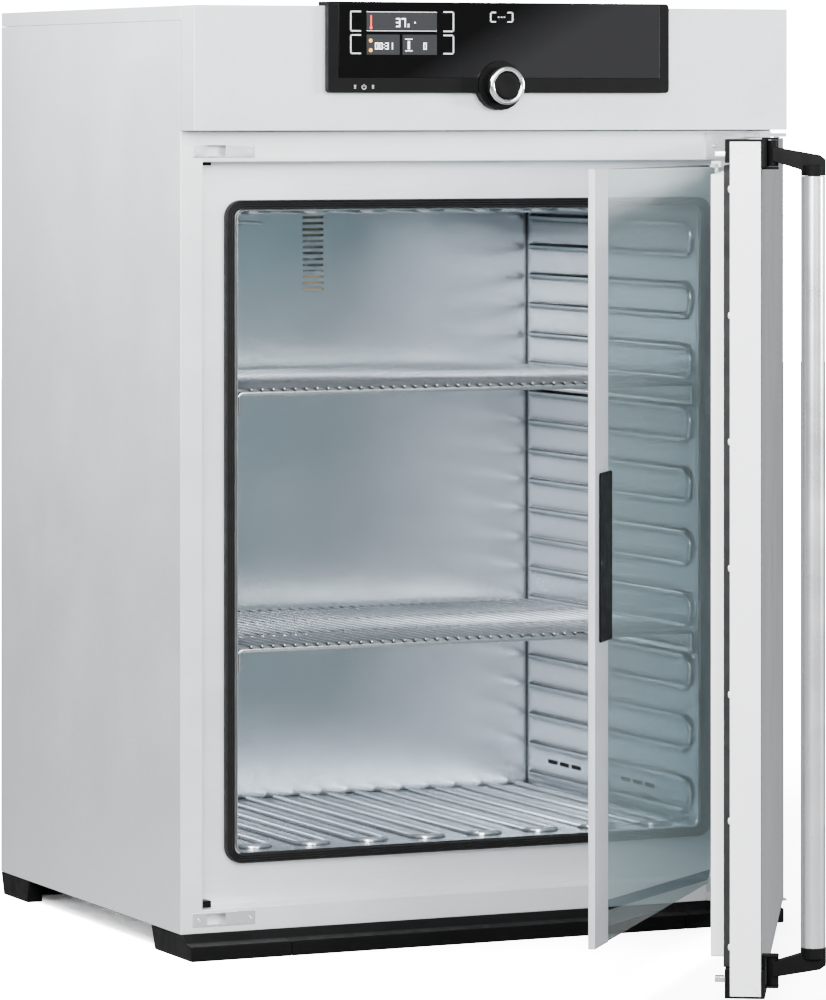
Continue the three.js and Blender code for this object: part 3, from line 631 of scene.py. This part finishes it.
def chamber():
    chamber_side("chamber_wall_left", -1)
    chamber_side("chamber_wall_right", 1)
    chamber_flat("chamber_floor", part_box("chamber_floor")[1].z - 6 * MM, 1)
    chamber_flat("chamber_ceiling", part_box("chamber_ceiling")[0].z + 6 * MM, -1)
    soften("chamber_back_wall", 0.25 * MM)
    soften("temperature_sensor", 0.5 * MM)
    chamber_seal()
    shelf("shelf_upper")
    shelf("shelf_lower")
    # The air slots are thin near-black inlays on the wall, not cut through: painted shade stands for
    # their dark inside.
    slots = bmesh.new()
    for start in (0.160, 0.374):
        for i in range(3):
            y = start + i * 0.036
            add_box(slots, (0.3204, y, 0.156), (0.3209, y + 0.027, 0.161))
    mesh = mesh_of("air_slots", slots)
    add_piece("air_slots", mesh, "cabinet", SLOT_SHADE, slot="steel_chamber", smooth=False)


# Casing, base, fittings --------------------------------------------------------------------

def casing():
    for node in ("side_panel_left", "side_panel_right", "rear_panel"):
        soften(node, 0.6 * MM, 2)
    soften("top_cover", 1.4 * MM, 3)
    soften("control_fascia", 1.4 * MM, 3)
    soften("front_frame", 0.7 * MM, 2, FRAME_STEEL)
    for node in ("foot_front_left", "front_base_rail", "foot_front_right", "rear_base"):
        soften(node, 1.6 * MM, 3)
    for node in ("keeper_upper", "keeper_lower", "hinge_bracket_upper", "hinge_bracket_lower"):
        soften(node, 0.35 * MM, 2)
    for node in ("glass_catch_upper", "glass_catch_lower", "mains_inlet"):
        soften(node, 0.6 * MM, 2)


def add_screw(work, centre, axis, radius):
    """A pan-head screw with a hexagon socket, its seat at the given point."""
    head = radius * 0.62
    profile = [(0, 0), (radius, 0), (radius, head * 0.35), (radius * 0.86, head * 0.75),
               (radius * 0.55, head), (radius * 0.46, head)]
    add_lathe(work, centre, axis, profile + [(radius * 0.40, head * 0.35), (0, head * 0.30)], 24)


def screws():
    work = bmesh.new()
    for node in ("keeper_upper", "keeper_lower"):
        low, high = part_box(node)
        for x in (low.x + 8.2 * MM, high.x - 6.6 * MM):
            add_screw(work, (x, low.y + 1.7 * MM, (low.z + high.z) / 2), (0, -1, 0), 2.9 * MM)
    for node in ("hinge_bracket_upper", "hinge_bracket_lower"):
        low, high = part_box(node)
        plate_y = high.y - 2.0 * MM
        for x in (low.x + 12 * MM, low.x + 40 * MM):
            add_screw(work, (x, plate_y, (low.z + high.z) / 2), (0, -1, 0), 3.2 * MM)
    low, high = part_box("rear_panel")
    for x in (low.x + 14 * MM, 0.0, high.x - 14 * MM):
        for i in range(6):
            z = low.z + 20 * MM + i * (high.z - low.z - 40 * MM) / 5
            add_screw(work, (x, high.y - 0.1 * MM, z), (0, 1, 0), 4.0 * MM)
    mesh = mesh_of("casing_screws", work)
    add_piece("casing_screws", mesh, "cabinet", FINISH["steel_fittings"], slot="steel_fittings")
    sharpen(mesh, 40)


# Control panel -----------------------------------------------------------------------------

SEGMENTS = {
    "0": "abcdef", "1": "bc", "2": "abged", "3": "abgcd", "4": "fgbc",
    "5": "afgcd", "6": "afgedc", "7": "abc", "8": "abcdefg", "9": "abcdfg",
}


def add_digit(work, digit, x, z, height, y):
    """One figure made of thin bars, its lower left corner at (x, z)."""
    w, h, t = height * 0.52, height, height * 0.13
    bars = {
        "a": (0, h - t, w, h), "b": (w - t, h / 2, w, h), "c": (w - t, 0, w, h / 2),
        "d": (0, 0, w, t), "e": (0, 0, t, h / 2), "f": (0, h / 2, t, h),
        "g": (0, (h - t) / 2, w, (h + t) / 2),
    }
    for key in SEGMENTS[digit]:
        x0, z0, x1, z1 = bars[key]
        add_box(work, (x + x0, y - 0.06 * MM, z + z0), (x + x1, y, z + z1))
    return w


def add_number(work, text, x, z, height, y):
    for letter in text:
        if letter in ".:":
            dot = height * 0.14
            for rise in ((0,) if letter == "." else (0.2, 0.65)):
                add_box(work, (x, y - 0.06 * MM, z + height * rise),
                        (x + dot, y, z + height * rise + dot))
            x += dot + height * 0.14
        else:
            x += add_digit(work, letter, x, z, height, y) + height * 0.16
    return x


def add_bracket(work, x0, x1, z0, z1, y, opens, bar=1.5 * MM):
    """A square bracket that opens to the left (-1) or to the right (1)."""
    spine = (x0, x0 + bar) if opens > 0 else (x1 - bar, x1)
    add_box(work, (spine[0], y - 0.06 * MM, z0), (spine[1], y, z1))
    for z in (z0, z1 - bar):
        add_box(work, (x0, y - 0.06 * MM, z), (x1, y, z + bar))


def add_disc(work, x, z, y, radius, back, front, sides):
    """A thin disc that faces the front, from back to front of the plane y."""
    profile = [(0, back), (radius, back), (radius, front), (0, front)]
    add_lathe(work, (x, y, z), (0, -1, 0), profile, sides)


def flat_piece(name, work, material):
    mesh = mesh_of(name, work)
    add_piece(name, mesh, "cabinet", material, slot="panel_glass", smooth=False)


def control_panel():
    soften("control_bezel", 1.2 * MM, 3)
    soften("control_glass", 0.4 * MM, 2)
    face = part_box("control_glass")[0].y + 0.02 * MM
    left, top = -0.1850, 1.1690

    tiles = bmesh.new()
    add_box(tiles, (left, face - 0.05 * MM, 1.1450), (-0.0890, face + 0.2 * MM, top))
    add_box(tiles, (left, face - 0.05 * MM, 1.1155), (-0.1400, face + 0.2 * MM, 1.1405))
    add_box(tiles, (-0.1360, face - 0.05 * MM, 1.1155), (-0.0890, face + 0.2 * MM, 1.1405))
    flat_piece("screen_tiles", tiles, SCREEN_TILE)

    ink = face - 0.06 * MM
    figures = bmesh.new()
    end = add_number(figures, "37", -0.1450, 1.1500, 11 * MM, ink)
    add_number(figures, ".0", end, 1.1500, 4 * MM, ink)
    add_disc(figures, end + 11 * MM, 1.1556, ink, 1 * MM, 0, 0.05 * MM, 12)
    add_number(figures, "00:31", -0.1735, 1.1220, 8.5 * MM, ink)
    add_number(figures, "0", -0.1075, 1.1220, 8.5 * MM, ink)
    for z in (1.1200, 1.1345):
        add_box(figures, (-0.1325, ink - 0.06 * MM, z), (-0.1225, ink, z + 0.9 * MM))
    add_tube(figures, [(-0.1275, ink, 1.1225), (-0.1275, ink, 1.1325)], 1.4 * MM, 8, 0.1)
    for edge in (1.1450, 1.1685):
        add_box(figures, (left, ink - 0.02 * MM, edge), (-0.0890, ink, edge + 0.35 * MM))
    flat_piece("screen_figures", figures, SCREEN_WHITE)

    thermometer = bmesh.new()
    add_tube(thermometer, [(-0.1790, ink, 1.1490), (-0.1790, ink, 1.1640)], 1.0 * MM, 10, 0.5)
    add_disc(thermometer, -0.1790, 1.1490, ink, 2.0 * MM, -0.1 * MM, 0.1 * MM, 16)
    flat_piece("screen_thermometer", thermometer, SCREEN_RED)
    timer = bmesh.new()
    for z in (1.1210, 1.1330):
        add_disc(timer, -0.1795, z, ink, 2.4 * MM, -0.1 * MM, 0.1 * MM, 20)
    flat_piece("screen_timer", timer, SCREEN_AMBER)

    keys = bmesh.new()
    for z0, z1 in ((1.1442, 1.1698), (1.1163, 1.1406)):
        add_bracket(keys, -0.2073, -0.1928, z0, z1, face, 1)
        add_bracket(keys, -0.0800, -0.0655, z0, z1, face, -1)
    add_bracket(keys, -0.0155, -0.0075, 1.1565, 1.1697, face, 1)
    add_bracket(keys, 0.0085, 0.0165, 1.1565, 1.1697, face, -1)
    for x in (-0.0040, 0.0, 0.0040):
        add_box(keys, (x - 0.7 * MM, face - 0.06 * MM, 1.1625), (x + 1.2 * MM, face, 1.1637))
    flat_piece("panel_keys", keys, PRINT_WHITE)

    marks = bmesh.new()
    bezel_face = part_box("control_bezel")[0].y + 3.0 * MM
    bar = 0.5 * MM
    ring = [(3.0 * MM, 0), (3.0 * MM, 0.05 * MM), (2.4 * MM, 0.05 * MM), (2.4 * MM, 0)]
    centre = Vector((-0.1886, bezel_face, 1.0752))
    rings = [[centre + Vector((-r * math.sin(a), -h, r * math.cos(a))) for r, h in ring]
             for a in (2 * math.pi * k / 32 for k in range(4, 29))]
    add_grid(marks, rings)
    add_box(marks, (centre.x - bar / 2, bezel_face - 0.05 * MM, centre.z + 0.6 * MM),
            (centre.x + bar / 2, bezel_face, centre.z + 3.6 * MM))
    for x in (-0.2008, -0.1764):
        for z in (1.0735, 1.0752, 1.0769):
            add_box(marks, (x - 1.2 * MM, bezel_face - 0.05 * MM, z),
                    (x + 1.2 * MM, bezel_face, z + 0.7 * MM))
    flat_piece("panel_marks", marks, PRINT_WHITE)
    control_knob()


def control_knob():
    low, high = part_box("control_knob_ring")
    x, z = (low.x + high.x) / 2, (low.z + high.z) / 2
    depth = high.y - low.y
    work = bmesh.new()
    profile = [
        (17.6, 0), (17.6, depth / MM - 1.6), (18.2, depth / MM - 0.6), (19.4, depth / MM - 0.1),
        (21.0, depth / MM), (22.6, depth / MM - 0.2), (23.6, depth / MM - 1.0),
        (23.9, depth / MM - 2.2), (23.9, depth / MM - 9.2), (23.2, depth / MM - 10.2), (23.2, 0),
    ]
    rings = []
    segments = 96
    for k in range(segments):
        a = 2 * math.pi * k / segments
        rings.append([Vector((x + r * MM * math.cos(a), high.y - h * MM, z + r * MM * math.sin(a)))
                      for r, h in profile])
    add_grid(work, rings, closed_path=True)
    mesh = mesh_of("control_knob_ring.turned", work)
    add_piece("control_knob_ring.turned", mesh, "knob_ring", FINISH["knob_chrome"],
              ("control_knob_ring",))
    mesh.materials.append(FINISH["black_plastic"])
    for face in mesh.polygons:
        if face.center.y > high.y - depth + 9.6 * MM:
            face.material_index = 1
    sharpen(mesh, 50)
    low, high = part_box("control_knob_button")
    work = bmesh.new()
    face = low.y
    radius = (high.x - low.x) / 2
    add_lathe(work, (x, face, z), (0, -1, 0), [
        (0, -(high.y - face)), (3 * MM, -(high.y - face)), (3 * MM, -8 * MM), (radius, -8 * MM),
        (radius, -1.4 * MM), (radius - 0.5 * MM, -0.5 * MM), (radius - 1.6 * MM, -0.1 * MM),
        (radius * 0.6, -0.9 * MM), (0, -1.3 * MM),
    ], 72)
    mesh = mesh_of("control_knob_button.domed", work)
    add_piece("control_knob_button.domed", mesh, "knob_button", FINISH["black_plastic"],
              ("control_knob_button",))
    sharpen(mesh, 50)


# Doors -------------------------------------------------------------------------------------

def open_turn(joint_name):
    """The turn that takes a shut door to where it stands at rest."""
    joint = JOINTS[joint_name]
    pivot = Vector((joint["pos_m"][0], joint["pos_m"][1], 0))
    angle = math.radians(-joint["range_deg"][0])
    return Matrix.Translation(pivot) @ Matrix.Rotation(angle, 4, "Z") @ Matrix.Translation(-pivot)


DOOR_TURN = open_turn("main_door_hinge")


def in_door(work):
    bmesh.ops.transform(work, matrix=DOOR_TURN, verts=work.verts)


def main_door():
    # The door shell and its inner panel take the painted-light copy of the steel.
    shell = soften("door_shell", 1.0 * MM, 3, PAINTED_LIGHT_STEEL)
    # The outward face of the door takes the painted-shade copy of the steel.
    shell.data.materials.append(PAINTED_SHADE_STEEL)
    outward = DOOR_TURN.to_3x3() @ Vector((0, -1, 0))
    for face in shell.data.polygons:
        if face.normal.dot(outward) > 0.9:
            face.material_index = 1
    soften("door_inner_panel", 2.5 * MM, 4, PAINTED_LIGHT_STEEL)
    soften("door_gasket", 1.2 * MM, 2)
    for node in ("lock_guide_upper", "lock_guide_lower"):
        soften(node, 0.9 * MM, 3)
    for node in ("lock_hook_upper", "lock_hook_lower"):
        soften(node, 0.6 * MM, 2)

    heads = bmesh.new()
    for x in (-0.4035, 0.3990):
        for i in range(7):
            z = 0.0871 + i * 0.14485
            add_screw(heads, (x, -8.5 * MM, z), (0, 1, 0), 4.0 * MM)
    in_door(heads)
    mesh = mesh_of("door_screws", heads)
    add_piece("door_screws", mesh, "main_door", FINISH["white_plastic"], slot="steel_fittings")
    sharpen(mesh, 40)

    folds = bmesh.new()
    edge_x = -0.4100
    for z, down in ((1.0107, -1), (0.0320, 1)):
        corners = [(-0.0425, 0), (-0.0345, 1), (-0.0175, 1), (-0.0095, 0)]
        points = [(edge_x - 0.02 * MM, y, z + down * d * 13 * MM) for y, d in corners]
        add_tube(folds, points, 0.22 * MM, 6, 0.1)
    in_door(folds)
    mesh = mesh_of("door_corner_folds", folds)
    add_piece("door_corner_folds", mesh, "main_door", FINISH["steel_textured"],
              slot="steel_textured")
    handle()


def handle():
    low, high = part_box("handle_tube")
    x, y = (low.x + high.x) / 2, (low.y + high.y) / 2
    radius = 13.9 * MM
    work = bmesh.new()
    add_lathe(work, (x, y, low.z), (0, 0, 1), [
        (0, 0), (radius - 0.6 * MM, 0), (radius, 0.6 * MM), (radius, high.z - low.z - 0.6 * MM),
        (radius - 0.6 * MM, high.z - low.z), (0, high.z - low.z),
    ], 72)
    mesh = mesh_of("handle_tube.round", work)
    add_piece("handle_tube.round", mesh, "door_handle", FINISH["tube_satin"], ("handle_tube",))
    sharpen(mesh, 40)
    for node in ("handle_arm_upper", "handle_arm_lower"):
        soften(node, 1.6 * MM, 4)


def glass_door():
    soften("glass_pane", 0.4 * MM, 2)
    soften("glass_edge_profile", 0.5 * MM, 2)
    soften("glass_grip", 0.9 * MM, 3)
    for node in ("glass_hinge_upper", "glass_hinge_lower"):
        soften(node, 0.8 * MM, 3)


# What is left keeps its CAD shape, with a detailed finish ----------------------------------------

def inner_nodes():
    for node, piece in NODES.items():
        if piece.hide_render:
            continue
        piece.data.materials.clear()
        piece.data.materials.append(FINISH[SLOT_OF[node]])
        for face in piece.data.polygons:
            face.material_index = 0


# Stage -------------------------------------------------------------------------------------

# The world's strength from the front to the back, and what the camera sees behind the object.
WORLD_STRENGTH = (0.70, 0.34)
BACKDROP_STRENGTH = 22.0
# Each light: place, size, power, and the point it is aimed at.
LIGHTS = {
    "key": ((-2.2, -3.6, 3.2), 2.0, 260, (0.1, 0.1, 0.6)),
    "front": ((0.6, -5.5, 2.6), 2.6, 290, (0.0, 0.1, 0.6)),
    "side": ((-1.25, 0.1, 1.85), 0.6, 125, (-0.4, 0.1, 1.3)),
    "chamber": ((-1.7, -3.0, 1.5), 0.7, 140, (0.0, 0.3, 0.5)),
    "handle": ((3.6, -2.5, 1.3), 0.8, 260, (0.1, -0.75, 0.6)),
}


def stage():
    work = bmesh.new()
    bmesh.ops.create_grid(work, x_segments=1, y_segments=1, size=14)
    mesh = mesh_of("floor", work)
    floor = bpy.data.objects.new("floor", mesh)
    bpy.context.scene.collection.objects.link(floor)
    finish = Nodes("floor")
    finish.set(Roughness=0.8)
    finish.colours(finish.noise(3), (0.20, 0.20, 0.20), (0.24, 0.24, 0.24))
    mesh.materials.append(finish.material)
    floor.is_shadow_catcher = True

    world = bpy.data.worlds.new("studio")
    bpy.context.scene.world = world
    world.use_nodes = True
    tree = world.node_tree
    background = tree.nodes["Background"]
    background.inputs["Color"].default_value = (0.97, 0.98, 1.0, 1)
    direction = tree.nodes.new("ShaderNodeTexCoord").outputs["Generated"]
    split = tree.nodes.new("ShaderNodeSeparateXYZ")
    tree.links.new(direction, split.inputs["Vector"])
    shade = map_range(tree, split.outputs["Y"], (-1.0, 0.2), WORLD_STRENGTH)
    seen = tree.nodes.new("ShaderNodeLightPath").outputs["Is Camera Ray"]
    choose = tree.nodes.new("ShaderNodeMix")
    choose.inputs["B"].default_value = BACKDROP_STRENGTH
    tree.links.new(seen, choose.inputs["Factor"])
    tree.links.new(shade, choose.inputs["A"])
    tree.links.new(choose.outputs["Result"], background.inputs["Strength"])

    for name, (place, size, power, target) in LIGHTS.items():
        lamp = bpy.data.lights.new(name, "AREA")
        lamp.size = size
        lamp.energy = power
        holder = bpy.data.objects.new(name, lamp)
        holder.location = place
        aim = Vector(target) - Vector(place)
        holder.rotation_euler = aim.to_track_quat("-Z", "Y").to_euler()
        bpy.context.scene.collection.objects.link(holder)


def camera():
    lens = bpy.data.cameras.new("camera")
    lens.sensor_width = 36.0
    lens.sensor_fit = "AUTO"
    lens.lens = CAMERA_LENS
    lens.shift_y = CAMERA_SHIFT
    lens.clip_end = 60.0
    holder = bpy.data.objects.new("camera", lens)
    holder.location = CAMERA_AT
    holder.rotation_euler = (math.radians(90), 0, math.radians(CAMERA_TURN))
    bpy.context.scene.collection.objects.link(holder)
    bpy.context.scene.camera = holder


camera()
casing()
screws()
control_panel()
chamber()
main_door()
glass_door()
inner_nodes()
stage()

bpy.context.view_layer.update()
